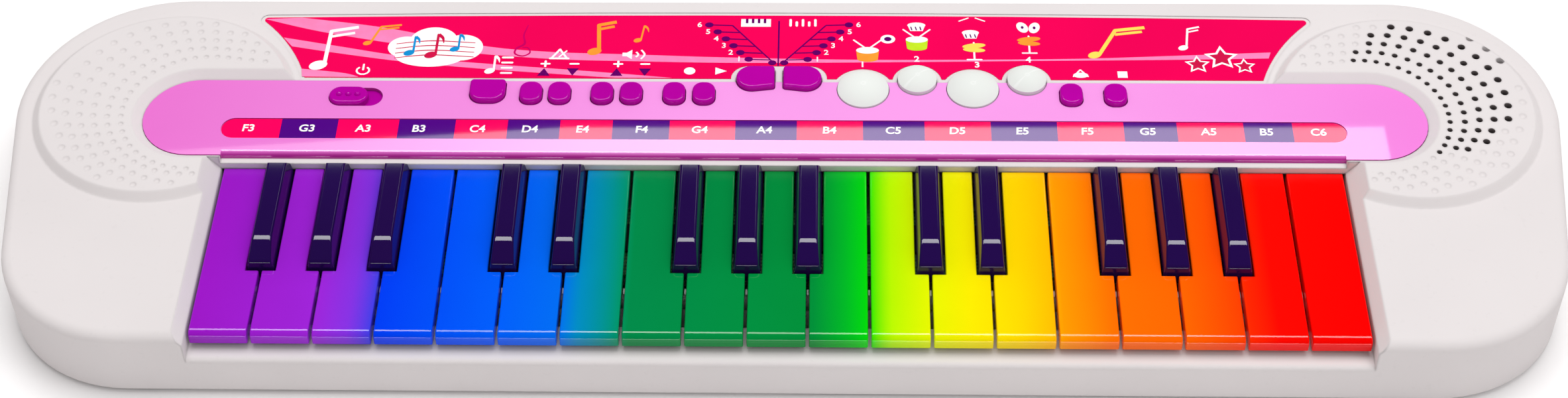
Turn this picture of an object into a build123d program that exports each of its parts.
from build123d import *
import os
from math import cos, radians, sin

os.makedirs("parts", exist_ok=True)

# Toy electronic keyboard with nineteen white and thirteen black mini keys.
# Millimetres. +X runs towards the high notes, +Y away from the player, +Z up.
# The origin is on the table, midway along the case, under the line where the keys meet the panel.

# ---------------------------------------------------------------- driving dimensions

# Plan of the case: the hull of four circles, one in each corner
REAR_CORNER = (212.7, 28.1)          # circle centre, mirrored left and right
REAR_CORNER_R = 53.2
FRONT_CORNER = (211.8, -33.5)
FRONT_CORNER_R = 45.7
WALL = 2.2
TOP_EDGE_R = 3.5
BOTTOM_EDGE_R = 0.8

# Heights above the table
CASE_BOTTOM_Z = 1.5
PLATE_TOP_Z = 3.5                    # inside of the bottom cover
LEDGE_Z = 16.7                       # rail under the key fronts
KEY_TOP_Z = 23.5
DECK_Z = 27.8
PANEL_TOP_Z = 28.1
DISC_TOP_Z = 30.4
PANEL_SEAT_Z = 25.9                  # floor that the control panel lies on
FLOOR_BOTTOM_Z = 24.1
LINTEL_BOTTOM_Z = 23.2               # edge above the key tails
LINTEL_T = 1.4
RIB_T = 1.2

# Keys
PITCH = 20.0
KEY_GAP = 1.1
KEY_FRONT_Y = -74.0
KEY_REAR_Y = -0.3
KEY_LIP = 4.4                        # height of the key's front face
LIP_R = 2.4                          # rounding of the key's front edge
KEY_SKIN = 1.6
NOTCH_FRONT_Y = -46.6
NOTCH_HALF = 5.0
BLACK_BASE_W = 8.8
BLACK_TOP_W = 6.4
BLACK_TOP_Z = 29.8
BLACK_FRONT_Y = -45.8
BLACK_REAR_Y = -0.8
BLACK_NOSE_Z = 26.8                  # top of the upright part of the front
BLACK_SLOPE_RUN = 8.2
BLACK_BREAK_R = 7.0
BLACK_NOSE_R = 1.8
BLACK_EDGE_R = 0.9
PIVOT_Y = 14.0
PIVOT_Z = 18.4
PIVOT_R = 1.5
PIVOT_CLEARANCE = 0.1
ARM_TOP_Z = 23.0
ARM_END_Y = 17.5
PLUNGER_Y = -20.0
PLUNGER_BOTTOM_Z = 16.2
PLUNGER_R = 1.8

# Key well in the top case
WELL_HALF = 190.4
WELL_SLOPE = 3.2 / 4.3               # sideways run per unit height above the keys
LEDGE_REAR_Y = -64.0                 # rear edge of the ledge under the key fronts
RAIL_Y = -51.5                       # rail behind it that carries a guide post in each key gap
RAIL_W = 2.4
RAIL_H = 4.0
POST_W = 0.6
POST_TOP_Z = 20.0
WELL_WALL_X = 199.0                  # outer side of the thick walls beside the keys

# Control panel: a long stadium
PANEL_Y = 20.1
PANEL_R = 18.1
PANEL_END_X = 202.0
PANEL_GAP = 0.15
PANEL_FRONT_Y = 0.6                  # front of the lintel that the panel lies on
PANEL_EDGE_Y = 2.3                   # foot of the panel's rounded front edge
PANEL_EDGE_R = 2.1
STRIP_Y = 14.8
STRIP_HALF_X = 192.1
STRIP_H = 9.2
FILM = 0.25                          # thickness of a printed film

# Raised speaker discs
DISC_X = 213.6
DISC_Y = 25.4
DISC_R = 45.5
FUNNEL_RUN = 3.4                     # slope between a disc and the panel's end
RING_X = 199.8                       # innermost ring of speaker holes: centre and radius
RING_Y = 20.4
RING_R = 27.3
RING_DRIFT = (2.92, 1.97, 2.28)      # growth of centre x, centre y and radius from ring to ring
RINGS = (                            # angle of the first hole, step in degrees, number of holes
    (92.8, 8.20, 17),
    (95.6, 8.70, 16),
    (91.1, 9.20, 15),
    (93.9, 9.65, 14),
    (86.3, 10.05, 11),
    (47.7, 10.45, 3),
)
HOLE_R_FIRST = 0.9
HOLE_R_GROWTH = 0.1

# Rear label: arched rear edge, and ends cut by circles around the discs
LABEL_FRONT_Y = 40.2
LABEL_REAR_Y = 72.5
LABEL_HALF_X = 196.0
LABEL_REAR_END_Y = 70.5              # rear edge at the label's half length
LABEL_END_X = 233.0
LABEL_END_Y = 18.5
LABEL_END_R = 69.5
LABEL_MARGIN = 1.4                   # white border of the recess around the label
LABEL_HOLLOW = 1.9                   # gap between the label and a pad or select button

# Push buttons, standing this much above the panel
BUTTON_RISE = 2.0
BUTTON_TRAVEL = 1.2
BUTTON_GAP = 0.25
BUTTON_EDGE_R = 0.9
FLANGE_TOP_Z = 23.9                  # flange that keeps a cap from falling out
FLANGE_T = 1.5
FLANGE_REACH = 1.1
STEM_R = 1.6
PAD_STEM_R = 2.2
SMALL_W = 7.8
SMALL_D = 9.9
SMALL_Y = 31.6
SMALL_BUTTONS = {
    "tempo_up_button": -86.6,
    "tempo_down_button": -76.7,
    "volume_up_button": -61.9,
    "volume_down_button": -51.8,
    "record_button": -36.9,
    "play_button": -26.6,
    "drum_mode_button": 100.1,
    "stop_button": 115.3,
}
DEMO_X = -101.8
DEMO_Y = 32.4
DEMO_W = 12.4
DEMO_D = 10.5
SELECT_MID_X = -0.7                  # the two select buttons mirror about this line
SELECT_INNER = 1.5
SELECT_W = 13.3
SELECT_FRONT_Y = 32.8
SELECT_REAR_Y = 44.75
SELECT_SLANT = 2.0                   # the front edge runs back this much towards the middle

# Drum pads: x, y, radius, height of the straight side above the panel
PADS = {
    "drum_pad_1": (28.5, 34.5, 8.9, 0.6),
    "drum_pad_2": (47.3, 38.8, 6.7, 1.4),
    "drum_pad_3": (66.4, 34.7, 8.9, 0.6),
    "drum_pad_4": (85.2, 38.9, 6.7, 1.4),
}
PAD_DOME_SHARE = 0.32                # height of a pad's dome as a share of its radius

# Power switch
SWITCH_X = -147.6
SWITCH_Y = 30.2
SWITCH_SLOT_L = 18.9
SWITCH_SLOT_W = 8.9
KNOB_L = 13.6
KNOB_W = 8.3
KNOB_TRAVEL = 4.8

# Inside
SPEAKER_X = 228.0
SPEAKER_Y = 42.0
SPEAKER_R = 25.0
SPEAKER_TOP_Z = 24.0
BOARD_Z = 14.0
BOARD_T = 1.6
BOARD_X = (-165.0, 128.0)
BOARD_Y = (22.0, 50.0)
SWITCH_BODY = 6.0
SWITCH_TOP_Z = 20.1
CONTACT_BOARD_Z = 9.0
DOME_TOP_Z = 14.8
DOME_R = 3.0
BAY_X = -227.0
BAY_Y = 16.0
BAY_W = 46.0
BAY_D = 58.0
BAY_TOP_Z = 20.5
DOOR_LIP = 1.0
DOOR_GAP = 0.3
DOOR_T = 1.8
FOOT_R = 8.5
FEET = ((-205.0, -69.0), (205.0, -69.0), (-195.0, 58.0), (195.0, 58.0))
SCREWS = ((-236, -48), (236, -48), (-90, -68.5), (90, -68.5), (-178, 66), (178, 66), (-60, 68), (60, 68))
BOSS_R = 3.4
SCREW_R = 1.45
SCREW_HEAD_R = 2.9
PEGS = ((-158, 26), (121, 26), (-158, 46), (121, 46))

LETTERS = "FGABCDE"
FIRST_OCTAVE = 3
WHITE_COUNT = 19
HALF_SET = PITCH * WHITE_COUNT / 2


# ---------------------------------------------------------------- helpers

def slab(x0, x1, y0, y1, z0, z1):
    """A box given by its limits."""
    box = Box(x1 - x0, y1 - y0, z1 - z0)
    return Pos((x0 + x1) / 2, (y0 + y1) / 2, (z0 + z1) / 2) * box


def rod(x, y, radius, z0, z1):
    """An upright cylinder given by its limits."""
    return Pos(x, y, (z0 + z1) / 2) * Cylinder(radius, z1 - z0)


def prism(face, z0, z1):
    """A plan face extruded between two heights."""
    return extrude(Pos(0, 0, z0) * face, z1 - z0)


def case_plan(inset=0.0):
    """Plan of the case, moved inwards by inset."""
    edges = []
    for side in (-1, 1):
        edges += (Pos(side * REAR_CORNER[0], REAR_CORNER[1]) * Circle(REAR_CORNER_R - inset)).edges()
        edges += (Pos(side * FRONT_CORNER[0], FRONT_CORNER[1]) * Circle(FRONT_CORNER_R - inset)).edges()
    return make_hull(edges)


def panel_plan(grow=0.0):
    """Stadium plan of the control panel."""
    return Pos(0, PANEL_Y) * SlotCenterToCenter(2 * PANEL_END_X, 2 * (PANEL_R + grow))


def disc_plan(side, grow=0.0):
    """Plan of a raised disc at one end."""
    return Pos(side * DISC_X, DISC_Y) * Circle(DISC_R + grow)


def rounded_corners(corners, radii):
    """A polygon with its own radius in each corner."""
    plan = make_face(Polyline(*corners, close=True))
    for corner, radius in zip(corners, radii):
        near = plan.vertices().sort_by_distance((corner[0], corner[1], 0))[0]
        plan = fillet(near, radius)
    return plan


def rounded_plan(x, y, width, depth, radii):
    """A rectangle with its own radius in each corner: front left, front right, rear right, rear left."""
    corners = []
    for sx, sy in ((-1, -1), (1, -1), (1, 1), (-1, 1)):
        corners.append((x + sx * width / 2, y + sy * depth / 2))
    return rounded_corners(corners, radii)


def select_plan(side, grow=0.0):
    """Plan of a select button: side -1 is left of the middle line, 1 is right of it."""
    inner = SELECT_MID_X + side * (SELECT_INNER - grow)
    outer = SELECT_MID_X + side * (SELECT_INNER + SELECT_W + grow)
    corners = [
        (outer, SELECT_FRONT_Y - grow),
        (inner, SELECT_FRONT_Y + SELECT_SLANT - grow),
        (inner, SELECT_REAR_Y + grow),
        (outer, SELECT_REAR_Y + grow),
    ]
    return rounded_corners(corners, (5.6, 1.2, 1.2, 5.4))


def label_plan(grow=0.0):
    """Plan of the rear label, with hollows in its front edge around the pads and select buttons."""
    front = LABEL_FRONT_Y - grow
    rear_end = LABEL_REAR_END_Y + grow
    edges = [
        Line((-LABEL_HALF_X, front), (LABEL_HALF_X, front)),
        Line((LABEL_HALF_X, front), (LABEL_HALF_X, rear_end)),
        ThreePointArc((LABEL_HALF_X, rear_end), (0, LABEL_REAR_Y + grow), (-LABEL_HALF_X, rear_end)),
        Line((-LABEL_HALF_X, rear_end), (-LABEL_HALF_X, front)),
    ]
    plan = make_face(Curve() + edges)
    for side in (-1, 1):
        plan -= Pos(side * LABEL_END_X, LABEL_END_Y) * Circle(LABEL_END_R - grow)
    tips = plan.vertices().group_by(Axis.Y)[-1]
    plan = fillet(tips, 1.2 + grow)
    for x, y, pad_r, _ in PADS.values():
        plan -= Pos(x, y) * Circle(pad_r + LABEL_HOLLOW - grow)
    width = 2 * (SELECT_INNER + SELECT_W + LABEL_HOLLOW - grow)
    depth = SELECT_REAR_Y - SELECT_FRONT_Y + 2 * (LABEL_HOLLOW - grow)
    middle_y = (SELECT_REAR_Y + SELECT_FRONT_Y) / 2
    return plan - rounded_plan(SELECT_MID_X, middle_y, width, depth, (1, 1, 6, 6))


# ---------------------------------------------------------------- places of keys and buttons

def white_keys():
    """Name and left edge of each white key."""
    keys = []
    for index in range(WHITE_COUNT):
        letter = LETTERS[index % 7]
        octave = FIRST_OCTAVE + (index + 3) // 7
        keys.append((letter + str(octave), -HALF_SET + PITCH * index))
    return keys


def black_keys():
    """Name and centre of each black key, which stands on the joint between two white keys."""
    keys = []
    for name, left in white_keys()[:-1]:
        if name[0] in "FGACD":
            keys.append((name[0] + "s" + name[1], left + PITCH))
    return keys


BLACK_AT = [centre for _, centre in black_keys()]


def button_plans(grow=0.0):
    """Plan of each push button in the panel, with its centre."""
    plans = {}
    radius = SMALL_W / 2 - 0.4
    for name, x in SMALL_BUTTONS.items():
        plan = rounded_plan(x, SMALL_Y, SMALL_W + 2 * grow, SMALL_D + 2 * grow, (radius,) * 4)
        plans[name] = (x, SMALL_Y, plan)
    demo = rounded_plan(DEMO_X, DEMO_Y, DEMO_W + 2 * grow, DEMO_D + 2 * grow, (4.8, 4.8, 1.3, 1.3))
    plans["demo_button"] = (DEMO_X, DEMO_Y, demo)
    for side, name in ((-1, "instrument_select_button"), (1, "rhythm_select_button")):
        x = SELECT_MID_X + side * (SELECT_INNER + SELECT_W / 2)
        plans[name] = (x, (SELECT_FRONT_Y + SELECT_REAR_Y) / 2, select_plan(side, grow))
    for name, (x, y, pad_r, _) in PADS.items():
        plans[name] = (x, y, Pos(x, y) * Circle(pad_r + grow))
    return plans


# ---------------------------------------------------------------- top case

def disc_shell(side):
    """One raised disc with its bevelled rim."""
    rise = DISC_TOP_Z - DECK_Z
    low = Pos(0, 0, DECK_Z) * disc_plan(side)
    high = Pos(0, 0, DISC_TOP_Z) * disc_plan(side, -rise)
    return loft([low.face(), high.face()], ruled=True) + prism(disc_plan(side), DECK_Z - 1, DECK_Z)


def funnel():
    """Slope that leads from the discs down to the control panel."""
    top = DISC_TOP_Z + 0.4
    run = PANEL_GAP + FUNNEL_RUN * (top - DECK_Z) / (DISC_TOP_Z - DECK_Z)
    low = Pos(0, 0, DECK_Z) * panel_plan(PANEL_GAP)
    high = Pos(0, 0, top) * panel_plan(run)
    return loft([low.face(), high.face()], ruled=True)


def well():
    """Space above the ledge that the keys stand in, open to the front."""
    top = DISC_TOP_Z + 1
    half_top = WELL_HALF + WELL_SLOPE * (top - KEY_TOP_Z)
    side = [
        (-WELL_HALF, LEDGE_Z),
        (WELL_HALF, LEDGE_Z),
        (WELL_HALF, KEY_TOP_Z),
        (half_top, top),
        (-half_top, top),
        (-WELL_HALF, KEY_TOP_Z),
    ]
    profile = make_face(Plane.XZ * Polyline(*side, close=True))
    return extrude(profile, 100, dir=(0, -1, 0))


def cavity():
    """Hollow of the top case, open at the bottom."""
    hollow = prism(case_plan(WALL), 0, DECK_Z - WALL)
    for side in (-1, 1):
        hollow += prism(disc_plan(side, -4.0), DECK_Z - WALL - 1, DISC_TOP_Z - WALL)
    hollow -= prism(panel_plan(FUNNEL_RUN + 2.4), DECK_Z - WALL, DISC_TOP_Z)
    hollow -= prism(panel_plan(WALL), FLOOR_BOTTOM_Z, DISC_TOP_Z)
    hollow -= slab(-WELL_WALL_X, WELL_WALL_X, -80, PANEL_FRONT_Y + 2, LEDGE_Z - 2, DISC_TOP_Z)
    return hollow


def speaker_holes():
    """Open holes above the speaker, in rings about the panel's right end."""
    holes = []
    for ring, (first, step, count) in enumerate(RINGS):
        radius = RING_R + RING_DRIFT[2] * ring
        hole_r = HOLE_R_FIRST + HOLE_R_GROWTH * ring
        for index in range(count):
            angle = radians(first - index * step)
            x = RING_X + RING_DRIFT[0] * ring + radius * cos(angle)
            y = RING_Y + RING_DRIFT[1] * ring + radius * sin(angle)
            holes.append(rod(x, y, hole_r, FLOOR_BOTTOM_Z, DISC_TOP_Z + 1))
    return holes


def speaker_collar():
    """Ring under the right disc that holds the speaker, left open towards the panel."""
    collar = rod(SPEAKER_X, SPEAKER_Y, SPEAKER_R + 1.6, SPEAKER_TOP_Z - 3, DISC_TOP_Z - WALL)
    collar -= rod(SPEAKER_X, SPEAKER_Y, SPEAKER_R + 0.2, 0, DISC_TOP_Z)
    collar &= prism(disc_plan(1, -1), 0, DISC_TOP_Z)
    return collar - prism(panel_plan(FUNNEL_RUN), 0, DISC_TOP_Z)


def guide_rail():
    """Rail across the key well, tied to the ledge by short ribs, with a post in each key gap."""
    low = LEDGE_Z - RAIL_H
    rear = RAIL_Y + RAIL_W / 2
    rail = slab(-WELL_HALF - 1, WELL_HALF + 1, RAIL_Y - RAIL_W / 2, rear, low, LEDGE_Z)
    for index in range(1, WHITE_COUNT):
        x = -HALF_SET + PITCH * index
        rail += slab(x - POST_W / 2, x + POST_W / 2, RAIL_Y - RAIL_W / 2, rear, LEDGE_Z - 0.5, POST_TOP_Z)
        rib_x = x + PITCH / 2
        rail += slab(rib_x - RIB_T / 2, rib_x + RIB_T / 2, LEDGE_REAR_Y - 0.5, rear, low, LEDGE_Z - 1)
    return rail


def make_top_case():
    """White upper moulding with key well, panel seat and speaker discs."""
    body = prism(case_plan(), CASE_BOTTOM_Z, DECK_Z)
    body = fillet(body.edges().group_by(Axis.Z)[-1], TOP_EDGE_R)
    body = fillet(body.edges().group_by(Axis.Z)[0], BOTTOM_EDGE_R)
    for side in (-1, 1):
        body += disc_shell(side)
    body -= funnel()
    body -= prism(panel_plan(PANEL_GAP), PANEL_SEAT_Z, DISC_TOP_Z)
    body -= slab(-WELL_HALF - 0.1, WELL_HALF + 0.1, 0, PANEL_Y, PANEL_SEAT_Z, DISC_TOP_Z)
    body -= well()
    front = body.edges().filter_by(Axis.X).filter_by_position(Axis.Z, LEDGE_Z - 0.1, LEDGE_Z + 0.1)
    body = fillet(front.sort_by(Axis.Y)[0], 1.8)
    body -= cavity()
    lintel_rear = PANEL_FRONT_Y + LINTEL_T
    body -= slab(-WELL_HALF, WELL_HALF, LEDGE_REAR_Y, lintel_rear, 0, LINTEL_BOTTOM_Z)
    body -= slab(-WELL_HALF, WELL_HALF, lintel_rear, 4, 0, FLOOR_BOTTOM_Z)
    body += slab(-189, 189, PIVOT_Y - 1, PIVOT_Y + 1, ARM_TOP_Z + 0.15, FLOOR_BOTTOM_Z)
    body += guide_rail()
    for x, y in SCREWS:
        roof = LEDGE_Z - 1.5 if y < LEDGE_REAR_Y else DECK_Z - 1.5
        body += rod(x, y, BOSS_R, 6.5, roof)
        body -= rod(x, y, SCREW_R + 0.05, 6, 14)
    body += speaker_collar()
    body -= speaker_holes()
    body -= prism(label_plan(LABEL_MARGIN), DECK_Z - FILM, DECK_Z + 0.1)
    for _, _, plan in button_plans(BUTTON_GAP).values():
        body -= prism(plan, FLOOR_BOTTOM_Z - 2, DISC_TOP_Z)
    body -= slab(SWITCH_X - 6, SWITCH_X + 6, SWITCH_Y - 1.6, SWITCH_Y + 1.6, FLOOR_BOTTOM_Z - 1, PANEL_SEAT_Z + 1)
    return body


# ---------------------------------------------------------------- panel and films

def make_control_panel():
    """Pink panel with its rounded front edge, the strip recess and the button openings."""
    body = prism(panel_plan(), PANEL_SEAT_Z, PANEL_TOP_Z)
    body -= slab(-WELL_HALF, WELL_HALF, 0, PANEL_Y, PANEL_SEAT_Z - 1, PANEL_TOP_Z + 1)
    front = slab(-WELL_HALF, WELL_HALF, PANEL_EDGE_Y, PANEL_Y, PANEL_SEAT_Z, PANEL_TOP_Z)
    front_edge = front.edges().filter_by(Axis.X).group_by(Axis.Z)[-1].sort_by(Axis.Y)[0]
    body += fillet(front_edge, PANEL_EDGE_R)
    strip = Pos(0, STRIP_Y) * SlotOverall(2 * STRIP_HALF_X + 0.4, STRIP_H + 0.4)
    body -= prism(strip, PANEL_TOP_Z - 0.5, PANEL_TOP_Z + 1)
    for _, _, plan in button_plans(BUTTON_GAP).values():
        body -= prism(plan, PANEL_SEAT_Z - 1, PANEL_TOP_Z + 1)
    slot = Pos(SWITCH_X, SWITCH_Y) * SlotOverall(SWITCH_SLOT_L, SWITCH_SLOT_W)
    body -= prism(slot, PANEL_SEAT_Z - 1, PANEL_TOP_Z + 1)
    pocket_x = SWITCH_X - KNOB_TRAVEL / 2
    body -= slab(pocket_x - 13, pocket_x + 17, SWITCH_Y - 4.9, SWITCH_Y + 4.9, PANEL_SEAT_Z - 1, 26.8)
    return body


def make_printed_labels():
    """Two printed films: the rear label with its arched ends, and the note strip."""
    strip = Pos(0, STRIP_Y) * SlotOverall(2 * STRIP_HALF_X, STRIP_H)
    films = prism(label_plan(), DECK_Z - FILM, DECK_Z)
    films += prism(strip, PANEL_TOP_Z - 0.5, PANEL_TOP_Z - 0.5 + FILM)
    return films


# ---------------------------------------------------------------- keys

def key_arm(x, width, start_y, plunger_from_z):
    """Tail that rocks on the pivot rail, with the plunger that closes the contact."""
    arm = slab(x - width / 2, x + width / 2, start_y, ARM_END_Y, PIVOT_Z, ARM_TOP_Z)
    groove = Pos(x, PIVOT_Y, PIVOT_Z) * Rot(0, 90, 0) * Cylinder(PIVOT_R + PIVOT_CLEARANCE, width + 2)
    return arm - groove + rod(x, PLUNGER_Y, PLUNGER_R, PLUNGER_BOTTOM_Z, plunger_from_z)


def make_white_key(left):
    """White key: a shell open below, notched for its black neighbours."""
    x0 = left + KEY_GAP / 2
    x1 = left + PITCH - KEY_GAP / 2
    low = KEY_TOP_Z - KEY_LIP
    shell = slab(x0, x1, KEY_FRONT_Y, KEY_REAR_Y, low, KEY_TOP_Z)
    inner0 = x0
    inner1 = x1
    if left in BLACK_AT:
        inner0 = left + NOTCH_HALF
        shell -= slab(left - 1, inner0, NOTCH_FRONT_Y, 1, low - 1, KEY_TOP_Z + 1)
    if left + PITCH in BLACK_AT:
        inner1 = left + PITCH - NOTCH_HALF
        shell -= slab(inner1, left + PITCH + 1, NOTCH_FRONT_Y, 1, low - 1, KEY_TOP_Z + 1)
    front = shell.edges().filter_by(Axis.X).group_by(Axis.Y)[0]
    shell = fillet(front.sort_by(Axis.Z)[-1], LIP_R)
    shell = fillet(shell.edges().filter_by(Axis.Y).group_by(Axis.Z)[-1], 0.5)
    skin = KEY_SKIN
    shell -= slab(x0 + skin, x1 - skin, KEY_FRONT_Y + skin, NOTCH_FRONT_Y - skin, 0, KEY_TOP_Z - 2)
    shell -= slab(inner0 + skin, inner1 - skin, NOTCH_FRONT_Y - 2 * skin, KEY_REAR_Y - skin, 0, KEY_TOP_Z - 2)
    middle = (inner0 + inner1) / 2
    return shell + key_arm(middle, 6.0, KEY_REAR_Y - 4, KEY_TOP_Z - 1)


def make_black_key(centre):
    """Black key: drafted block with a sloping front, rocking on the same rail."""
    low = KEY_TOP_Z - KEY_LIP
    side = [
        (BLACK_FRONT_Y, low),
        (BLACK_FRONT_Y, BLACK_NOSE_Z),
        (BLACK_FRONT_Y + BLACK_SLOPE_RUN, BLACK_TOP_Z),
        (BLACK_REAR_Y - 2.6, BLACK_TOP_Z),
        (BLACK_REAR_Y, BLACK_TOP_Z - 3.0),
        (BLACK_REAR_Y, low),
    ]
    profile = make_face(Plane.YZ * Polyline(*side, close=True))
    for corner, radius in ((side[1], BLACK_NOSE_R), (side[2], BLACK_BREAK_R)):
        near = profile.vertices().sort_by_distance((0, corner[0], corner[1]))[0]
        profile = fillet(near, radius)
    block = Pos(centre - BLACK_BASE_W / 2, 0, 0) * extrude(profile, BLACK_BASE_W, dir=(1, 0, 0))
    half_low = BLACK_BASE_W / 2
    half_top = BLACK_TOP_W / 2
    cross = [
        (centre - half_low, low - 1),
        (centre + half_low, low - 1),
        (centre + half_low, KEY_TOP_Z),
        (centre + half_top, BLACK_TOP_Z),
        (centre - half_top, BLACK_TOP_Z),
        (centre - half_low, KEY_TOP_Z),
    ]
    taper = extrude(make_face(Plane.XZ * Polyline(*cross, close=True)), 60, dir=(0, -1, 0))
    block = block & taper
    block = fillet(block.edges().filter_by(Axis.Y).group_by(Axis.Z)[-1], BLACK_EDGE_R)
    pocket = slab(
        centre - half_low + KEY_SKIN,
        centre + half_low - KEY_SKIN,
        BLACK_FRONT_Y + KEY_SKIN,
        BLACK_REAR_Y - KEY_SKIN,
        0,
        KEY_TOP_Z,
    )
    return block - pocket + key_arm(centre, 5.0, BLACK_REAR_Y - 6, KEY_TOP_Z + 1)


# ---------------------------------------------------------------- buttons

def make_button(x, y, plan):
    """Button cap with a retaining flange below the panel floor and a stem to its switch."""
    top = PANEL_TOP_Z + BUTTON_RISE
    cap = prism(plan, FLOOR_BOTTOM_Z - 0.8, top)
    cap = fillet(cap.edges().group_by(Axis.Z)[-1], BUTTON_EDGE_R)
    box = plan.bounding_box()
    half_w = box.size.X / 2 - 0.4
    half_d = box.size.Y / 2 + FLANGE_REACH
    flange = slab(x - half_w, x + half_w, y - half_d, y + half_d, FLANGE_TOP_Z - FLANGE_T, FLANGE_TOP_Z)
    stem = rod(x, y, STEM_R, SWITCH_TOP_Z + BUTTON_TRAVEL + 0.1, FLOOR_BOTTOM_Z - 0.5)
    return cap + flange + stem


def make_pad(x, y, radius, side):
    """Drum pad: a shallow dome on a short straight side."""
    rim = PANEL_TOP_Z + side
    rise = radius * PAD_DOME_SHARE
    sphere_r = (radius ** 2 + rise ** 2) / (2 * rise)
    ball = Pos(x, y, rim + rise - sphere_r) * Sphere(sphere_r)
    dome = ball & rod(x, y, radius, rim - 1, rim + rise + 1)
    cap = rod(x, y, radius, FLOOR_BOTTOM_Z - 0.8, rim) + dome
    flange = rod(x, y, radius + 0.9, FLANGE_TOP_Z - FLANGE_T, FLANGE_TOP_Z)
    stem = rod(x, y, PAD_STEM_R, SWITCH_TOP_Z + BUTTON_TRAVEL + 0.1, FLOOR_BOTTOM_Z - 0.5)
    return cap + flange + stem


def make_power_knob():
    """Slide knob with three grip bumps, its cover plate and the stem to the switch."""
    x = SWITCH_X - KNOB_TRAVEL / 2
    knob = prism(Pos(x, SWITCH_Y) * SlotOverall(KNOB_L, KNOB_W), PANEL_SEAT_Z + 0.3, PANEL_TOP_Z + 1.4)
    knob = fillet(knob.edges().group_by(Axis.Z)[-1], 0.9)
    for step in (-1, 0, 1):
        knob += Pos(x + 3.2 * step, SWITCH_Y, PANEL_TOP_Z + 1.0) * Sphere(1.2)
    plate = slab(x - 12, x + 12, SWITCH_Y - 4.6, SWITCH_Y + 4.6, PANEL_SEAT_Z + 0.1, 26.7)
    stem = slab(x - 1.8, x + 1.8, SWITCH_Y - 1.2, SWITCH_Y + 1.2, 19.6, PANEL_SEAT_Z + 0.5)
    return knob + plate + stem


# ---------------------------------------------------------------- bottom case and insides

def make_bottom_case():
    """Flat bottom cover with pivot rail, board posts, screw cups and battery bay."""
    body = prism(case_plan(WALL + 0.2), CASE_BOTTOM_Z, PLATE_TOP_Z)
    body += slab(-188, 188, PIVOT_Y - 1, PIVOT_Y + 1, PLATE_TOP_Z, PIVOT_Z)
    body += Pos(0, PIVOT_Y, PIVOT_Z) * Rot(0, 90, 0) * Cylinder(PIVOT_R, 376)
    for y in (-34, -8):
        body += slab(-186, 186, y - 0.8, y + 0.8, PLATE_TOP_Z, CONTACT_BOARD_Z)
    for x, y in PEGS:
        body += rod(x, y, 3, PLATE_TOP_Z, BOARD_Z)
        body += rod(x, y, 1.2, BOARD_Z, BOARD_Z + BOARD_T + 1)
    for x, y in SCREWS:
        body += rod(x, y, 5, PLATE_TOP_Z, 6.5)
        body -= rod(x, y, SCREW_HEAD_R + 0.3, 0, 4.5)
        body -= rod(x, y, SCREW_R + 0.25, 0, 8)
    x0 = BAY_X - BAY_W / 2
    x1 = BAY_X + BAY_W / 2
    y0 = BAY_Y - BAY_D / 2
    y1 = BAY_Y + BAY_D / 2
    body += slab(x0 - 2, x1 + 2, y0 - 2, y1 + 2, PLATE_TOP_Z, BAY_TOP_Z)
    body -= slab(x0, x1, y0, y1, 0, BAY_TOP_Z - 1.5)
    body -= slab(x0 - DOOR_LIP, x1 + DOOR_LIP, y0 - DOOR_LIP, y1 + DOOR_LIP, 0, CASE_BOTTOM_Z + DOOR_T + 0.05)
    return body


def make_battery_door():
    """Flat door of the battery bay with a finger groove."""
    half_w = BAY_W / 2 + DOOR_LIP - DOOR_GAP
    half_d = BAY_D / 2 + DOOR_LIP - DOOR_GAP
    top = CASE_BOTTOM_Z + DOOR_T
    door = slab(BAY_X - half_w, BAY_X + half_w, BAY_Y - half_d, BAY_Y + half_d, CASE_BOTTOM_Z, top)
    for step in (-1, 0, 1):
        y = BAY_Y + half_d - 8 + 2.4 * step
        door -= slab(BAY_X - 8, BAY_X + 8, y - 0.6, y + 0.6, CASE_BOTTOM_Z - 1, CASE_BOTTOM_Z + 0.6)
    return door


def make_battery_contacts():
    """Three pairs of contacts, each a flat tab at one end of a cell and a spring cone at the other."""
    contacts = []
    for index in (-1, 0, 1):
        x = BAY_X + 15 * index
        for side in (-1, 1):
            wall_y = BAY_Y + side * BAY_D / 2
            tab = slab(x - 5, x + 5, min(wall_y, wall_y - 0.5 * side), max(wall_y, wall_y - 0.5 * side), 6, 16)
            reach = 5.0 if side == (-1) ** index else 1.2
            cone = Cone(3.5, 2.0, reach)
            cone = Pos(x, wall_y - side * (0.4 + reach / 2), 11) * Rot(90 * side, 0, 0) * cone
            contacts.append(tab + cone)
    return Compound(children=contacts)


def make_main_board():
    """Circuit board under the panel with its push switches, slide switch and chip."""
    board = slab(BOARD_X[0], BOARD_X[1], BOARD_Y[0], BOARD_Y[1], BOARD_Z, BOARD_Z + BOARD_T)
    for x, y in PEGS:
        board -= rod(x, y, 1.35, BOARD_Z - 1, BOARD_Z + BOARD_T + 1)
    half = SWITCH_BODY / 2
    for x, y, _ in button_plans().values():
        board += slab(x - half, x + half, y - half, y + half, BOARD_Z + BOARD_T, BOARD_Z + BOARD_T + 3.5)
        board += rod(x, y, 1.7, BOARD_Z + BOARD_T + 3, SWITCH_TOP_Z)
    board += slab(SWITCH_X - 5, SWITCH_X + 5, SWITCH_Y - 2.5, SWITCH_Y + 2.5, BOARD_Z + BOARD_T, 19.2)
    board += slab(-124, -112, 38, 48, BOARD_Z + BOARD_T, BOARD_Z + BOARD_T + 2.5)
    return board


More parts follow.
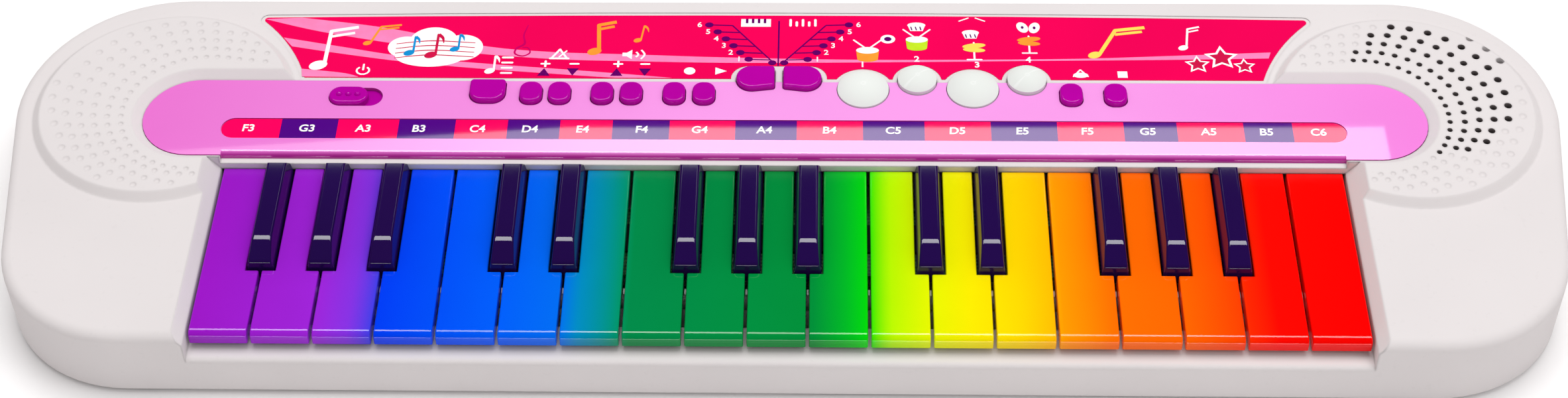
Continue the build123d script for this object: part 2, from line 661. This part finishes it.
def contact_places():
    """X of each key's plunger."""
    places = list(BLACK_AT)
    for _, left in white_keys():
        x0 = left + NOTCH_HALF if left in BLACK_AT else left + KEY_GAP / 2
        x1 = left + PITCH - NOTCH_HALF if left + PITCH in BLACK_AT else left + PITCH - KEY_GAP / 2
        places.append((x0 + x1) / 2)
    return sorted(places)


def make_contact_board():
    """Long circuit board under the keys."""
    return slab(-188, 188, PLUNGER_Y - 16, PLUNGER_Y + 14, CONTACT_BOARD_Z, CONTACT_BOARD_Z + BOARD_T)


def make_contact_rubber():
    """Rubber strip with one contact dome under each plunger."""
    base_z = CONTACT_BOARD_Z + BOARD_T
    strip = slab(-187, 187, PLUNGER_Y - 6, PLUNGER_Y + 6, base_z, base_z + 1)
    for x in contact_places():
        dome_h = DOME_TOP_Z - base_z - 0.5
        strip += Pos(x, PLUNGER_Y, DOME_TOP_Z - dome_h / 2) * Cone(DOME_R + 0.6, DOME_R - 0.8, dome_h)
    return strip


def make_speaker():
    """Small loudspeaker: rim, open basket, paper cone and magnet in one piece."""
    rim_z = SPEAKER_TOP_Z - 2
    rim = rod(SPEAKER_X, SPEAKER_Y, SPEAKER_R, rim_z, SPEAKER_TOP_Z)
    rim -= Pos(SPEAKER_X, SPEAKER_Y, SPEAKER_TOP_Z - 3) * Cone(8, SPEAKER_R - 2, 6.2)
    basket = Pos(SPEAKER_X, SPEAKER_Y, (rim_z + 13) / 2) * Cone(14, SPEAKER_R - 1, rim_z - 13)
    bowl = Pos(SPEAKER_X, SPEAKER_Y, SPEAKER_TOP_Z - 3.4) * Cone(8, SPEAKER_R - 2.4, 6.8)
    cap = Pos(SPEAKER_X, SPEAKER_Y, 11) * Sphere(9)
    magnet = rod(SPEAKER_X, SPEAKER_Y, 14.5, 7, 13)
    return rim + (basket - bowl) + (cap & rod(SPEAKER_X, SPEAKER_Y, 8, 13, 21)) + magnet


def make_rubber_feet():
    """Four round rubber feet."""
    return Compound(children=[rod(x, y, FOOT_R, 0, CASE_BOTTOM_Z) for x, y in FEET])


def make_case_screws():
    """Eight identical self-tapping screws with a cross recess."""
    screws = []
    for x, y in SCREWS:
        screw = rod(x, y, SCREW_HEAD_R, 2.6, 4.5) + rod(x, y, SCREW_R, 4.5, 13)
        screw -= slab(x - 2, x + 2, y - 0.4, y + 0.4, 2, 3.6)
        screw -= slab(x - 0.4, x + 0.4, y - 2, y + 2, 2, 3.6)
        screws.append(screw)
    return Compound(children=screws)


# ---------------------------------------------------------------- all nodes

def make_nodes():
    """Every piece by its node name."""
    nodes = {
        "top_case": make_top_case(),
        "bottom_case": make_bottom_case(),
        "control_panel": make_control_panel(),
        "printed_labels": make_printed_labels(),
        "power_switch_knob": make_power_knob(),
        "speaker": make_speaker(),
        "main_board": make_main_board(),
        "key_contact_board": make_contact_board(),
        "key_contact_rubber": make_contact_rubber(),
        "battery_door": make_battery_door(),
        "battery_contacts": make_battery_contacts(),
        "rubber_feet": make_rubber_feet(),
        "case_screws": make_case_screws(),
    }
    for name, left in white_keys():
        nodes["white_key_" + name.lower()] = make_white_key(left)
    for name, centre in black_keys():
        nodes["black_key_" + name.lower()] = make_black_key(centre)
    for name, (x, y, plan) in button_plans().items():
        if name in PADS:
            nodes[name] = make_pad(x, y, PADS[name][2], PADS[name][3])
        else:
            nodes[name] = make_button(x, y, plan)
    return nodes


for node_name, shape in make_nodes().items():
    export_step(shape, "parts/" + node_name + ".step")
